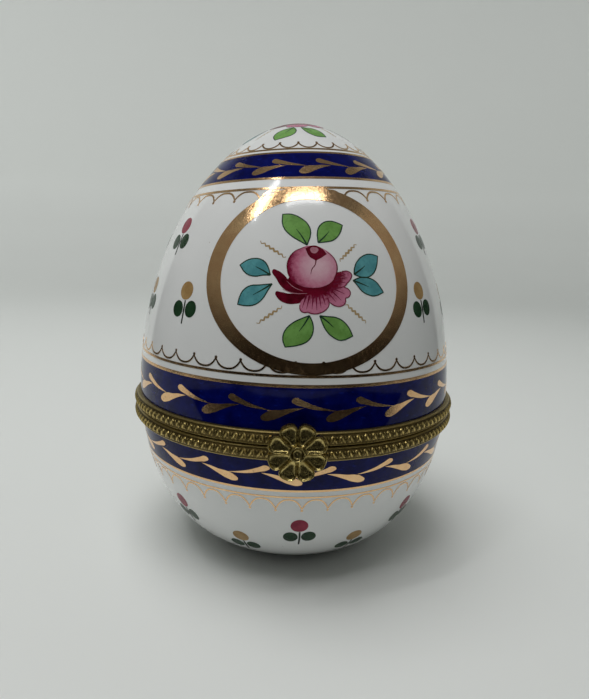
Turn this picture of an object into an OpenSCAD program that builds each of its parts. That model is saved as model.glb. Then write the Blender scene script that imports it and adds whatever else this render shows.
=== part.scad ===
// Egg-shaped trinket box: a porcelain bowl and a tall domed porcelain lid.
// Each has an embossed brass bezel round its rim. A barrel hinge joins the bezels at the back
// and a flower clasp on a spring tongue closes them at the front.
//
// The origin is the centre of the foot on the table, +Z is up and the clasp faces -Y.

/* [Porcelain] */
// Radius of the egg at its widest level
egg_r = 33; // [30:0.5:36]
// Height of the widest level above the table
belly_z = 32.6; // [31:0.2:36]
// Rise of the lid's crown above the widest level
dome_rise = 54.6; // [48:0.2:60]
// How far the bowl's round bottom is cut off to make the foot
foot_sink = 1; // [0.6:0.1:1.6]
// Thickness of the porcelain wall
wall = 3; // [2.4:0.1:3.6]
// Height of the bowl's floor above the table
floor_z = 3.6; // [3:0.1:5]
// Inner radius of the foot ring
foot_in_r = 10.5; // [8:0.5:11.5]
// Height of the hollow under the foot
foot_hollow = 1; // [0.5:0.1:1.5]

/* [Outline] */
// Fullness of the lid's shoulder along the height
dome_p = 1.971; // [1.8:0.001:2.2]
// Fullness of the lid's shoulder across
dome_q = 1.806; // [1.6:0.001:2.1]
// Fullness of the bowl along the height
bowl_p = 1.94; // [1.8:0.01:2.2]
// Fullness of the bowl across
bowl_q = 3.444; // [3:0.001:3.8]

/* [Bezels] */
// Height of the seam between bowl and lid
seam_z = 30; // [29.6:0.1:30.4]
// Height of each embossed strip
bezel_h = 2.6; // [2.4:0.1:2.6]
// Radius of the strips at their edges
bezel_edge_r = 33.5; // [33.4:0.05:33.6]
// How far the strips bulge at their middle
bezel_bulge = 0.8; // [0.5:0.05:0.8]
// Thickness of the brass sheet
sheet_t = 0.55; // [0.4:0.05:0.6]
// How far the lip reaches in past the porcelain's inner wall
lip_reach = 0.8; // [0.7:0.05:1]
// Gap between each lip and the seam
seam_gap = 0.05; // [0.03:0.01:0.08]

/* [Hinge] */
// Distance of the hinge pin from the egg's axis
hinge_y = 35.75; // [35.7:0.05:36]
// Width of the whole hinge
hinge_w = 12; // [10:0.5:14]
// Radius of the hinge barrel
knuckle_r = 1.25; // [1.2:0.05:1.3]
// Radius of the hinge pin
pin_r = 0.5; // [0.4:0.05:0.6]
// Radial play of the pin in the knuckles
pin_play = 0.03; // [0.02:0.01:0.06]

/* [Clasp] */
// Radius of the flower
flower_r = 5; // [4.5:0.1:5.5]
// Number of petals
petals = 8; // [6:1:10]
// Width of the spring tongue
tongue_w = 3.2; // [2.8:0.1:3.6]
// Thickness of the spring tongue
tongue_t = 0.4; // [0.3:0.05:0.4]

/* [Hidden] */
$fn = 96;

porcelain_white = [0.93, 0.94, 0.95];
brass = [0.62, 0.53, 0.27];
plaster = [0.86, 0.83, 0.76];

outer_steps = 26;                       // straight facets along each outer half outline
inner_steps = 18;                       // straight facets along each inner half outline
strip_steps = 8;                        // straight facets across a bezel strip
bowl_drop = belly_z + foot_sink;
inner_r = egg_r - wall;
land_depth = 0.6;                       // how far the porcelain is ground back to seat the bezel
land_r = egg_r - land_depth;
skirt_h = 1.6;                          // height of the bezel's inner skirt
skirt_gap = 0.35;                       // cement gap between skirt and porcelain
lip_t = 0.4;                            // thickness of the bezel's lip over the rim

leaf_gap = 0.15;                        // play between a barrel and the other side's leaf
leaf_t = 0.5;                           // thickness of the hinge leaves
leaf_h = 1.1;                           // height of the part soldered to the bezel
knuckle_gap = 0.1;                      // side play between knuckles
foot_w = 1.6 * knuckle_r;               // width of the block that joins a knuckle to its leaf
foot_sunk = 0.7 * knuckle_r;            // how far that block starts from the pin's level
pin_head_t = 0.35;                      // length of the pin's flared ends
pin_head_r = pin_r + 0.3;               // radius of the pin's flared ends
pin_end_play = 0.02;                    // play between a flared end and its knuckle
stop_angle = 100;                       // opening at which the leaves' edges meet
wing_z = knuckle_r + leaf_gap;          // distance of each leaf from the pin's level
wing_reach = wing_z / tan(stop_angle / 2);

bezel_face = bezel_edge_r + bezel_bulge;
catch_w = 5;                            // width of the catch plate
catch_t = 0.25;                         // how far the catch plate stands out from the strip
catch_top = seam_z - 0.3;
catch_low = seam_z - 2.3;
stud_z = seam_z - 1.3;                  // level of the catch stud
stud_r = 0.9;
stud_t = 0.3;
tongue_gap = 0.65;                      // space between the strips' face and the tongue
tongue_back = bezel_face + tongue_gap;  // distance of the tongue's back from the axis
tongue_top = seam_z + 3;                // level of the tongue's root end
tongue_low = seam_z - 3.4;              // level of the tongue's free end
saddle_w = 4;                           // width of the saddle that holds the tongue's root
saddle_top = seam_z + 2.4;
saddle_low = seam_z + 0.7;
saddle_play = 0.05;                     // solder gap between saddle and tongue
flower_back = tongue_back + tongue_t;
plate_t = 0.5;                          // thickness of the flower's back plate
plate_r = 0.72 * flower_r;              // radius of the flower's back plate
petal_r = 0.3 * flower_r;               // radius of each petal's domed cap
petal_t = 1.05;                         // height of each petal's domed cap
rivet_r = 0.6;                          // radius of the rivet's shank
rivet_head_r = 1.45;
rivet_head_t = 1.15;
rivet_sunk = 0.2;                       // how far the shank runs up inside the head
face_overlap = 1;                       // how far soldered pieces start inside the bezel's face

// A point of an oval outline: a = 0 on the widest level, a = 90 on the axis
function oval_x(a, r, q) = r * pow(cos(a), 2 / q);
function oval_z(a, rise, p) = rise * pow(sin(a), 2 / p);
// The angle at which an oval outline has risen by the fraction t
function oval_a(t, p) = asin(pow(t, p / 2));

function dome_line(r, rise, steps) = [
    for (i = [0 : steps])
        let (a = 90 * i / steps)
            [oval_x(a, r, dome_q), belly_z + oval_z(a, rise, dome_p)]
];
// From height z_hi down to height z_lo, both below the widest level
function bowl_line(r, drop, z_hi, z_lo, steps) =
    let (a0 = oval_a((belly_z - z_hi) / drop, bowl_p), a1 = oval_a((belly_z - z_lo) / drop, bowl_p))
    [
        for (i = [0 : steps])
            let (a = a0 + (a1 - a0) * i / steps)
                [oval_x(a, r, bowl_q), belly_z - oval_z(a, drop, bowl_p)]
    ];
function reversed(list) = [for (i = [len(list) - 1 : -1 : 0]) list[i]];

// Radius of a strip's outer face at u, from 0 at the seam to 1 at the far edge
function strip_r(u) = bezel_edge_r + bezel_bulge * sin(180 * u);
// Height of a strip's point at u; side is 1 for the lid and -1 for the bowl
function strip_z(u, side) = seam_z + side * (seam_gap + (bezel_h - seam_gap) * u);
lip_u = (lip_t - seam_gap) / (bezel_h - seam_gap);

// The strip's outer face from the seam to its far edge
function strip_line(side) = [
    for (i = [0 : strip_steps]) [strip_r(i / strip_steps), strip_z(i / strip_steps, side)]
];
// The strip's inner face from its far edge back to the lip
function strip_back(side) = [
    for (i = [0 : strip_steps])
        let (u = 1 - (1 - lip_u) * i / strip_steps) [strip_r(u) - sheet_t, strip_z(u, side)]
];

// Porcelain

module base_bowl() {
    outer = bowl_line(egg_r, bowl_drop, seam_z - bezel_h, 0, outer_steps);
    inner = bowl_line(inner_r, belly_z - floor_z, seam_z - lip_t, floor_z, inner_steps);
    color(porcelain_white) rotate_extrude() polygon(concat(
        [[land_r, seam_z - lip_t], [land_r, seam_z - bezel_h]],
        outer,
        [[foot_in_r, 0], [foot_in_r - foot_hollow, foot_hollow], [0, foot_hollow]],
        reversed(inner)
    ));
}

module lid_shell() {
    outer = dome_line(egg_r, dome_rise, outer_steps);
    inner = dome_line(inner_r, dome_rise - wall, inner_steps);
    rim_r = bowl_line(inner_r, belly_z - floor_z, seam_z + lip_t, seam_z, 1)[0][0];
    color(porcelain_white) rotate_extrude() polygon(concat(
        [[rim_r, seam_z + lip_t], [land_r, seam_z + lip_t], [land_r, belly_z]],
        outer,
        reversed(inner)
    ));
}

// Brass bezels and their cement

module bezel(side) {
    skirt_out = inner_r - skirt_gap;
    skirt_in = inner_r - lip_reach;
    lip_z = seam_z + side * lip_t;
    rotate_extrude() polygon(concat(
        strip_line(side),
        strip_back(side),
        [
            [skirt_out, lip_z],
            [skirt_out, seam_z + side * skirt_h],
            [skirt_in, seam_z + side * skirt_h],
            [skirt_in, seam_z + side * seam_gap]
        ]
    ));
}

module cement(side) {
    rotate_extrude() polygon(concat(
        strip_back(side),
        [[land_r, seam_z + side * lip_t], [land_r, seam_z + side * bezel_h]]
    ));
}

// A solid copy of the strip's outside, to shape what is soldered to it
module bezel_blank(side) {
    rotate_extrude($fn = 480) polygon(concat(
        [[0, seam_z + side * seam_gap]],
        strip_line(side),
        [[0, seam_z + side * bezel_h]]
    ));
}

module lower_bezel() {
    color(brass) bezel(-1);
}

module upper_bezel() {
    color(brass) bezel(1);
}

module lower_cement() {
    color(plaster) cement(-1);
}

module upper_cement() {
    color(plaster) cement(1);
}

// Hinge

// A leaf soldered to the strip, with a wing that passes the barrel and ends in the stop edge
module hinge_leaf(side) {
    wing_low = side > 0 ? seam_z + wing_z : seam_z - wing_z - leaf_t;
    plate_low = side > 0 ? seam_z + wing_z : seam_z - wing_z - leaf_h;
    difference() {
        union() {
            translate([-hinge_w / 2, bezel_face - face_overlap, plate_low])
                cube([hinge_w, face_overlap + leaf_t, leaf_h]);
            translate([-hinge_w / 2, bezel_face, wing_low])
                cube([hinge_w, hinge_y + wing_reach - bezel_face, leaf_t]);
        }
        bezel_blank(side);
    }
}

// A knuckle from x0 to x1, with the foot that joins it to its leaf
module knuckle(x0, x1, side) {
    foot_h = wing_z - foot_sunk;
    foot_low = side > 0 ? seam_z + wing_z - foot_h : seam_z - wing_z;
    difference() {
        union() {
            translate([x0, hinge_y, seam_z]) rotate([0, 90, 0]) cylinder(h = x1 - x0, r = knuckle_r);
            translate([x0, hinge_y - foot_w / 2, foot_low]) cube([x1 - x0, foot_w, foot_h]);
        }
        translate([x0 - 1, hinge_y, seam_z]) rotate([0, 90, 0])
            cylinder(h = x1 - x0 + 2, r = pin_r + pin_play);
    }
}

module hinge_leaf_lower() {
    color(brass) hinge_leaf(-1);
}

module hinge_leaf_upper() {
    color(brass) hinge_leaf(1);
}

module hinge_knuckle_left() {
    color(brass) knuckle(-hinge_w / 2, -hinge_w / 6 - knuckle_gap, -1);
}

module hinge_knuckle_right() {
    color(brass) knuckle(hinge_w / 6 + knuckle_gap, hinge_w / 2, -1);
}

module hinge_knuckle_center() {
    color(brass) knuckle(-hinge_w / 6, hinge_w / 6, 1);
}

module hinge_pin() {
    reach = hinge_w / 2 + pin_end_play;
    color(brass) translate([0, hinge_y, seam_z]) rotate([0, 90, 0]) union() {
        cylinder(h = 2 * reach + 2 * pin_head_t, r = pin_r, center = true);
        translate([0, 0, reach]) cylinder(h = pin_head_t, r1 = pin_head_r, r2 = pin_r);
        translate([0, 0, -reach - pin_head_t]) cylinder(h = pin_head_t, r1 = pin_r, r2 = pin_head_r);
    }
}

// Catch and clasp

// A plate soldered to a strip's front, w wide, between two heights, out to the distance face
module front_plate(w, z0, z1, face, side) {
    difference() {
        translate([-w / 2, -face, z0]) cube([w, face - bezel_face + face_overlap, z1 - z0]);
        bezel_blank(side);
    }
}

module catch_plate() {
    color(brass) front_plate(catch_w, catch_low, catch_top, bezel_face + catch_t, -1);
}

// Moves a part drawn flat onto the front: its +Z then points forward from the distance y
module on_front(y, z) {
    translate([0, -y, z]) rotate([90, 0, 0]) children();
}

module catch_stud() {
    color(brass) on_front(bezel_face + catch_t, stud_z) union() {
        cylinder(h = stud_t / 2, r = stud_r);
        translate([0, 0, stud_t / 2]) cylinder(h = stud_t / 2, r1 = stud_r, r2 = 0.6 * stud_r);
    }
}

module clasp_saddle() {
    color(brass) front_plate(saddle_w, saddle_low, saddle_top, tongue_back - saddle_play, 1);
}

module clasp_tongue() {
    end_r = tongue_w / 2;
    color(brass) difference() {
        union() {
            on_front(tongue_back, tongue_top - end_r) cylinder(h = tongue_t, r = end_r);
            on_front(tongue_back, tongue_low + end_r) cylinder(h = tongue_t, r = end_r);
            translate([-end_r, -flower_back, tongue_low + end_r])
                cube([tongue_w, tongue_t, tongue_top - tongue_low - tongue_w]);
        }
        on_front(tongue_back - 1, seam_z) cylinder(h = tongue_t + 2, r = rivet_r + pin_play);
    }
}

module clasp_flower() {
    ball_r = (petal_r * petal_r + petal_t * petal_t) / (2 * petal_t);
    color(brass) difference() {
        union() {
            on_front(flower_back, seam_z) cylinder(h = plate_t, r = plate_r);
            for (i = [0 : petals - 1])
                on_front(flower_back, seam_z) rotate([0, 0, (i + 0.5) * 360 / petals])
                    translate([flower_r - petal_r, 0, 0]) intersection() {
                        translate([0, 0, petal_t - ball_r]) sphere(r = ball_r);
                        cylinder(h = 2 * petal_t, r = 2 * petal_r);
                    }
        }
        on_front(flower_back - 1, seam_z) cylinder(h = plate_t + 3, r = rivet_r + pin_play);
    }
}

module clasp_rivet() {
    head_back = flower_back + plate_t;
    ball_r = (rivet_head_r * rivet_head_r + rivet_head_t * rivet_head_t) / (2 * rivet_head_t);
    color(brass) union() {
        on_front(tongue_back, seam_z) cylinder(h = tongue_t + plate_t + rivet_sunk, r = rivet_r);
        intersection() {
            on_front(head_back + rivet_head_t - ball_r, seam_z) sphere(r = ball_r);
            on_front(head_back, seam_z) cylinder(h = 2 * rivet_head_t, r = 2 * rivet_head_r);
        }
    }
}

base_bowl();
lower_bezel();
lower_cement();
hinge_leaf_lower();
hinge_knuckle_left();
hinge_knuckle_right();
hinge_pin();
catch_plate();
catch_stud();
lid_shell();
upper_bezel();
upper_cement();
hinge_leaf_upper();
hinge_knuckle_center();
clasp_saddle();
clasp_tongue();
clasp_flower();
clasp_rivet();
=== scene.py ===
# %% [markdown]
# # A hinged porcelain egg box
# The box is a bowl and a tall lid of white porcelain, each set in a strip of embossed brass.
# A barrel hinge joins them at the back, and a sprung brass flower snaps shut at the front.
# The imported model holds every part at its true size, and this script adds what the eye sees.

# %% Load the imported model
from math import asin, atan, cos, degrees, hypot, pi, radians, sin
import bpy
from mathutils import Euler, Matrix, Vector


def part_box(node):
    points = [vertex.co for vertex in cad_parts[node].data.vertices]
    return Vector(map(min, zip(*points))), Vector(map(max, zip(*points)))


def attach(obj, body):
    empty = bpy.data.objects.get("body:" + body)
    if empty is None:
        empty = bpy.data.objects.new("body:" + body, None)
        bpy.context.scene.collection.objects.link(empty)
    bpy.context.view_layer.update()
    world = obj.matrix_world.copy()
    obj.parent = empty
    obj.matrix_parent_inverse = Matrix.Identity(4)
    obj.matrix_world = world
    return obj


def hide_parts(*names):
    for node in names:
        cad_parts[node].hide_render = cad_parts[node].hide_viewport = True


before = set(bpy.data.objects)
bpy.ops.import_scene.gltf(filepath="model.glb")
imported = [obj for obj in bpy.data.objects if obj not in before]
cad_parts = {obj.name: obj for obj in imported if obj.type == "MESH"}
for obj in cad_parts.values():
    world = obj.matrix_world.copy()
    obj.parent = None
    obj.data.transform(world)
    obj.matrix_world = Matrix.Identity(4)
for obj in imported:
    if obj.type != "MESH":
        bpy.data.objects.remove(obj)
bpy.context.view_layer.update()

# %% [markdown]
# The oval of the egg is one formula for the lid and one for the bowl. Both start on the widest
# level, which is the top edge of the upper brass strip. The glaze of the crown is kept a hair
# under the top of the model, so that the colours painted over it still fit inside. An oval's
# power says how full it is: 2 is an ellipse, and more is blunter.

# %% Sizes of the box
MM = 0.001
EGG_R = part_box("lid_shell")[1].x
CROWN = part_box("lid_shell")[1].z - 0.07 * MM
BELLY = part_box("upper_bezel")[1].z
STRIP_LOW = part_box("lower_bezel")[0].z
SEAM = (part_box("upper_bezel")[0].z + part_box("lower_bezel")[1].z) / 2
STRIP_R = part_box("upper_bezel")[1].x
WALL = 3 * MM
RIM = 0.4 * MM  # how far each porcelain rim stays back from the seam
LAND_R = EGG_R - 0.6 * MM
LID_POWERS, BOWL_POWERS = (1.806, 1.971), (3.444, 1.94)  # outwards and upwards


def lid_point(angle, radius, rise):
    """A point of the lid's oval: 0 degrees on the widest level, 90 on the axis."""
    a, (out, up) = radians(angle), LID_POWERS
    return radius * max(cos(a), 0) ** (2 / out), BELLY + rise * sin(a) ** (2 / up)


def bowl_point(angle, radius, drop):
    """The same below the widest level, where the oval is blunter."""
    a, (out, up) = radians(angle), BOWL_POWERS
    return radius * max(cos(a), 0) ** (2 / out), BELLY - drop * sin(a) ** (2 / up)


def bowl_angle(z, drop):
    """The angle at which the bowl's oval passes the height z."""
    return degrees(asin(((BELLY - z) / drop) ** (BOWL_POWERS[1] / 2)))


print("radius", EGG_R / MM, "crown", CROWN / MM, "seam", SEAM / MM, "strip", STRIP_R / MM)

# %% [markdown]
# An operator acts on all that is selected, so these helpers put everything down before a piece
# is picked up. They also apply modifiers and places, so each finished piece has its place in
# its mesh.


# %% Picking up and putting down
def put_down():
    """Leave edit mode and select nothing."""
    if bpy.context.object and bpy.context.object.mode != "OBJECT":
        bpy.ops.object.mode_set(mode="OBJECT")
    bpy.ops.object.select_all(action="DESELECT")


def hold(piece, *more):
    """Pick up one piece, or several with the first one active."""
    put_down()
    for p in (piece, *more):
        p.select_set(True)
    bpy.context.view_layer.objects.active = piece
    return piece


def open_mesh(piece, choose="SELECT"):
    """Start editing a piece with all or nothing of it selected."""
    hold(piece)
    bpy.ops.object.mode_set(mode="EDIT")
    bpy.ops.mesh.select_mode(type="VERT")
    bpy.ops.mesh.select_all(action=choose)


def bake_place(piece):
    """Move a piece's place, turn and scale into its mesh."""
    hold(piece)
    bpy.ops.object.transform_apply(location=True, rotation=True, scale=True)


def work(piece, kind, **settings):
    """Add a modifier, set it and apply it."""
    hold(piece)
    modifier = piece.modifiers.new(kind.lower(), kind)
    for name, value in settings.items():
        setattr(modifier, name, value)
    bpy.ops.object.modifier_apply(modifier=modifier.name)


def flip(piece):
    """Turn a piece's faces over."""
    open_mesh(piece)
    bpy.ops.mesh.flip_normals()
    put_down()


def face_up(piece):
    """Turn a flat piece over if its faces look down."""
    if sum(f.normal.z * f.area for f in piece.data.polygons) < 0:
        flip(piece)


def join(pieces, name):
    """Make one piece of several."""
    hold(*pieces)
    if len(pieces) > 1:
        bpy.ops.object.join()
    pieces[0].name = name
    return pieces[0]


def twin(piece, name):
    """A copy with a mesh of its own."""
    hold(piece)
    bpy.ops.object.duplicate(linked=False)
    bpy.context.object.name = name
    return bpy.context.object


def finish(piece, body, material, angle=35):
    """Smooth a piece, give it its finish and let it ride on its body."""
    hold(piece)
    piece.data.materials.clear()
    piece.data.materials.append(material)
    bpy.ops.object.shade_smooth_by_angle(angle=radians(angle))
    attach(piece, body)
    print(piece.name, len(piece.data.polygons), "faces")
    return piece


# %% [markdown]
# A potter turns a pot against a profile. Here one point is extruded along the profile and the
# line is spun about the axis. The seam and the pole are merged, and the faces turned outwards.


# %% Turning on the wheel
def turn(name, profile, steps=192, closed=False):
    """A turned shape from (radius, height) points."""
    put_down()
    r, z = profile[0]
    bpy.ops.mesh.primitive_plane_add(size=MM, location=(r, 0, z))
    pot = bpy.context.object
    pot.name = name
    bake_place(pot)
    open_mesh(pot)
    bpy.ops.mesh.merge(type="CENTER")
    around = profile[1:] + ([profile[0]] if closed else [])
    for nr, nz in around:
        bpy.ops.mesh.extrude_vertices_move(TRANSFORM_OT_translate={"value": (nr - r, 0, nz - z)})
        r, z = nr, nz
    bpy.ops.mesh.select_all(action="SELECT")
    bpy.ops.mesh.remove_doubles(threshold=1e-7)
    bpy.ops.mesh.spin(steps=steps, angle=2 * pi, center=(0, 0, 0), axis=(0, 0, 1))
    bpy.ops.mesh.select_all(action="SELECT")
    bpy.ops.mesh.remove_doubles(threshold=1e-7)
    bpy.ops.mesh.normals_make_consistent(inside=False)
    put_down()
    widest = max(pot.data.polygons, key=lambda f: f.center.x)
    if widest.normal.x < 0:
        flip(pot)
    return pot


RISE = CROWN - BELLY
DROP = BELLY + 1 * MM
LID_LINE = [lid_point(a, EGG_R, RISE) for a in [*range(0, 88, 2), 88.5, 89.4, 90]]
seat = bowl_angle(STRIP_LOW, DROP)
floor_angle = bowl_angle(0.35 * MM, DROP)
BOWL_LINE = [bowl_point(seat + (floor_angle - seat) * i / 40, EGG_R, DROP) for i in range(41)]
print("lid profile", len(LID_LINE), "points, bowl profile", len(BOWL_LINE), "points")

# %% [markdown]
# ## Material effects
# Every finish is uneven close up. These node groups are the effects that finishes share: the
# slow waves and dark specks of a fired glaze, the grain left by a brush, the cloudy strength
# of a colour, and the patina of brass. They stay fixed on the piece.


# %% Effect groups
def effect(name, **inputs):
    """A node group with its named inputs; gives the group, its inputs and the object's place."""
    group = bpy.data.node_groups.new(name, "ShaderNodeTree")
    for label, value in inputs.items():
        kind = "NodeSocketVector" if isinstance(value, tuple) else "NodeSocketFloat"
        socket = group.interface.new_socket(name=label, in_out="INPUT", socket_type=kind)
        socket.default_value = value
    return group, group.nodes.new("NodeGroupInput").outputs, whereabouts(group)


def give(group, **outputs):
    """Name and wire what a group gives back."""
    end = group.nodes.new("NodeGroupOutput")
    for label, source in outputs.items():
        group.interface.new_socket(name=label, in_out="OUTPUT", socket_type="NodeSocketFloat")
        wire(source, end.inputs[label])


def node(tree, kind, **settings):
    """A node with its settings."""
    made = tree.nodes.new("ShaderNode" + kind)
    for name, value in settings.items():
        setattr(made, name, value)
    return made


def wire(source, target):
    """Connect an output to an input, or set the input to a number."""
    if isinstance(source, (int, float)):
        target.default_value = source
    else:
        target.id_data.links.new(source, target)


def calc(operation, *values):
    """A Math node; each value is a number or a socket, the first one a socket."""
    m = node(values[0].id_data, "Math", operation=operation)
    for value, socket in zip(values, m.inputs):
        wire(value, socket)
    return m.outputs[0]


def whereabouts(tree):
    """The place on the object."""
    return node(tree, "TexCoord").outputs["Object"]


def noise(place, scale, detail=3.0, rough=0.55):
    """A noise texture on a given place; scale is a number or a socket."""
    n = node(place.id_data, "TexNoise")
    wires = {"Vector": place, "Scale": scale, "Detail": detail, "Roughness": rough}
    for label, value in wires.items():
        wire(value, n.inputs[label])
    return n.outputs["Fac"]


def spread(value, low, high, out_low=0.0, out_high=1.0):
    """Map a range of a value to another range, clamped."""
    m = node(value.id_data, "MapRange")
    for source, socket in zip((value, low, high, out_low, out_high), m.inputs):
        wire(source, socket)
    return m.outputs["Result"]


def blend_colour(amount, first, second):
    """Mix two colours, each a tuple or a socket."""
    m = node(amount.id_data, "Mix", data_type="RGBA")
    wire(amount, m.inputs["Factor"])
    for socket, colour in ((m.inputs[6], first), (m.inputs[7], second)):
        if isinstance(colour, tuple):
            socket.default_value = (*colour, 1)
        else:
            wire(colour, socket)
    return m.outputs[2]


glaze_flow, gin, where = effect("glaze flow", Wave=220.0, Speck=900.0)
give(
    glaze_flow,
    Height=noise(where, gin["Wave"], 1.5),
    Cloud=noise(where, 60.0, 2.0),
    Specks=spread(noise(where, gin["Speck"], 1.0), 0.80, 0.84),
)
brush_grain, gin, where = effect("brush grain", Grain=3200.0, Stretch=(1.0, 1.0, 1.0))
pulled = node(brush_grain, "VectorMath", operation="MULTIPLY")
wire(where, pulled.inputs[0])
wire(gin["Stretch"], pulled.inputs[1])
grain = noise(pulled.outputs[0], gin["Grain"], 3.0, 0.65)
give(
    brush_grain,
    Height=grain,
    Thin=spread(grain, 0.60, 0.72),
    Cloud=noise(where, 420.0, 2.0),
)
old_brass, gin, where = effect("old brass", Dirt=1300.0)
give(
    old_brass,
    Patina=spread(noise(where, gin["Dirt"], 4.0), 0.38, 0.66),
    Scratch=spread(noise(where, 4200.0, 2.0), 0.45, 0.70),
    Height=noise(where, 2600.0, 2.0),
)
print("effect groups:", [g.name for g in bpy.data.node_groups])

# %% [markdown]
# A material here is one Principled shader. What is the same all over, such as the coat, is set
# on the shader itself, and the groups feed what changes over the surface.


# %% Starting a material
def shader(name, **constants):
    """A material with its Principled shader, and the constants set on it."""
    mat = bpy.data.materials.new(name)
    mat.use_nodes = True
    tree = mat.node_tree
    bsdf = tree.nodes["Principled BSDF"]
    for label, value in constants.items():
        bsdf.inputs[label.replace("_", " ")].default_value = value
    return mat, tree, bsdf


def place_group(tree, group, **values):
    """An effect group placed in a material with its own values."""
    n = node(tree, "Group")
    n.node_tree = group
    for label, value in values.items():
        n.inputs[label].default_value = value
    return n.outputs


def relief(height, bsdf, depth):
    """Feed a height to the shader's normal, depth in mm."""
    b = node(height.id_data, "Bump")
    b.inputs["Distance"].default_value = depth * MM
    b.inputs["Strength"].default_value = 1.0
    wire(height, b.inputs["Height"])
    wire(b.outputs["Normal"], bsdf.inputs["Normal"])


def tint(bsdf, colour, rough):
    """Wire a shader's colour and roughness."""
    wire(colour, bsdf.inputs["Base Color"])
    wire(rough, bsdf.inputs["Roughness"])


def white_porcelain():
    """Glazed all over."""
    mat, tree, bsdf = shader("white porcelain", IOR=1.5, Coat_Weight=0.6, Coat_Roughness=0.04)
    flow = place_group(tree, glaze_flow, Wave=160.0, Speck=1100.0)
    cloud = spread(flow["Cloud"], 0.3, 0.7)
    body = blend_colour(cloud, (0.80, 0.815, 0.81), (0.86, 0.87, 0.865))
    specked = blend_colour(flow["Specks"], body, (0.52, 0.48, 0.43))
    tint(bsdf, specked, spread(flow["Cloud"], 0.2, 0.8, 0.10, 0.18))
    relief(flow["Height"], bsdf, 0.02)
    return mat


def bare_porcelain():
    """Where the foot was wiped clean of glaze."""
    mat, tree, bsdf = shader("bare porcelain", IOR=1.5)
    flow = place_group(tree, glaze_flow, Wave=2600.0, Speck=1500.0)
    colour = blend_colour(flow["Cloud"], (0.62, 0.59, 0.54), (0.74, 0.72, 0.68))
    tint(bsdf, colour, spread(flow["Height"], 0.3, 0.7, 0.6, 0.85))
    relief(flow["Height"], bsdf, 0.05)
    return mat


WHITE = white_porcelain()
BARE = bare_porcelain()

# %% [markdown]
# ## The porcelain
# Each half is one closed turned shape: the glazed outside, the ground step where the brass
# strip is cemented on, the rim and the inside. The bowl stands on a small foot ring with a
# rounded, unglazed edge.

# %% Lid and bowl
IN_R = EGG_R - WALL
IN_RISE = RISE - WALL
IN_DROP = BELLY - 3.6 * MM
BREAK = 0.15 * MM  # the softened outer edge of each rim
lid_inside = [lid_point(a, IN_R, IN_RISE) for a in [90, 89, *range(86, -1, -4)]]
rim_r = bowl_point(bowl_angle(SEAM + RIM, IN_DROP), IN_R, IN_DROP)[0]
lid_edge = SEAM + RIM
lid_profile = (
    LID_LINE[::-1]
    + [(LAND_R, BELLY), (LAND_R, lid_edge + BREAK), (LAND_R - BREAK, lid_edge), (rim_r, lid_edge)]
    + lid_inside[::-1]
)
lid = turn("porcelain_lid", lid_profile)
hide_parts("lid_shell")
finish(lid, "lid", WHITE)

bowl_edge = SEAM - RIM
first = bowl_angle(bowl_edge, IN_DROP)
bowl_inside = [bowl_point(first + (90 - first) * i / 30, IN_R, IN_DROP) for i in range(31)]
foot = [(14.1, 0.08), (13.8, 0), (11, 0), (10.65, 0.08), (10.4, 0.3), (9.5, 1), (0, 1)]
bowl_profile = (
    bowl_inside[::-1]
    + [(LAND_R - BREAK, bowl_edge), (LAND_R, bowl_edge - BREAK), (LAND_R, STRIP_LOW)]
    + BOWL_LINE
    + [(r * MM, z * MM) for r, z in foot]
)
bowl = turn("porcelain_bowl", bowl_profile)
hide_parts("base_bowl")
finish(bowl, "base", WHITE)
bowl.data.materials.append(BARE)
WIPED = 0.32 * MM  # the glaze is wiped off below this height
for face in bowl.data.polygons:
    if face.center.z < WIPED:
        face.material_index = 1

# %% [markdown]
# ## Colours over the glaze
# Painted colour is a film a few hundredths of a millimetre thick. The outer skin of each half
# is turned once more as a helper, and a ring of colour is a copy of it cut between two levels,
# lifted and thickened. The rings near the crown are slightly askew, and the painting of the
# lid is set a degree and a half away from the clasp.

# %% Skins and rings of colour
lid_skin = turn("lid_skin", LID_LINE)
bowl_skin = turn("bowl_skin", BOWL_LINE)
for skin in (lid_skin, bowl_skin):
    skin.hide_render = True
STRAIGHT = Matrix.Identity(4)
PAINT_TURN = -1.5
ABOUT = Matrix.Rotation(radians(PAINT_TURN), 4, "Z")
PIVOT = Matrix.Translation((0, 0, 60.8 * MM)) @ ABOUT
ASKEW = PIVOT @ Matrix.Rotation(radians(-2.6), 4, "Y") @ PIVOT.inverted()


def ring_coat(name, skin, low, high, lift, tilt=STRAIGHT, depth=0.05):
    """A ring of colour between two heights in mm."""
    ring = twin(skin, name)
    ring.hide_render = False
    up = tilt.to_3x3() @ Vector((0, 0, 1))
    open_mesh(ring)
    for level, keep_above in ((low, True), (high, False)):
        bpy.ops.mesh.select_all(action="SELECT")
        bpy.ops.mesh.bisect(
            plane_co=tilt @ Vector((0, 0, level * MM)), plane_no=up, threshold=1e-7,
            clear_inner=keep_above, clear_outer=not keep_above,
        )
    put_down()
    work(ring, "DISPLACE", strength=lift * MM, mid_level=0.0, direction="NORMAL")
    work(ring, "SOLIDIFY", thickness=depth * MM, offset=-1, use_even_offset=True)
    return ring


def cobalt_blue():
    """Deep blue under the glaze."""
    mat, tree, bsdf = shader("cobalt blue", IOR=1.25)
    grain = place_group(tree, brush_grain, Grain=700.0, Stretch=(1.0, 1.0, 2.5))
    flow = place_group(tree, glaze_flow, Wave=200.0, Speck=1000.0)
    cloud = spread(grain["Cloud"], 0.3, 0.7)
    deep = blend_colour(cloud, (0.0005, 0.0012, 0.050), (0.001, 0.004, 0.105))
    colour = blend_colour(grain["Thin"], deep, (0.002, 0.009, 0.16))
    tint(bsdf, colour, spread(flow["Cloud"], 0.2, 0.8, 0.04, 0.09))
    relief(flow["Height"], bsdf, 0.02)
    return mat


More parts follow.
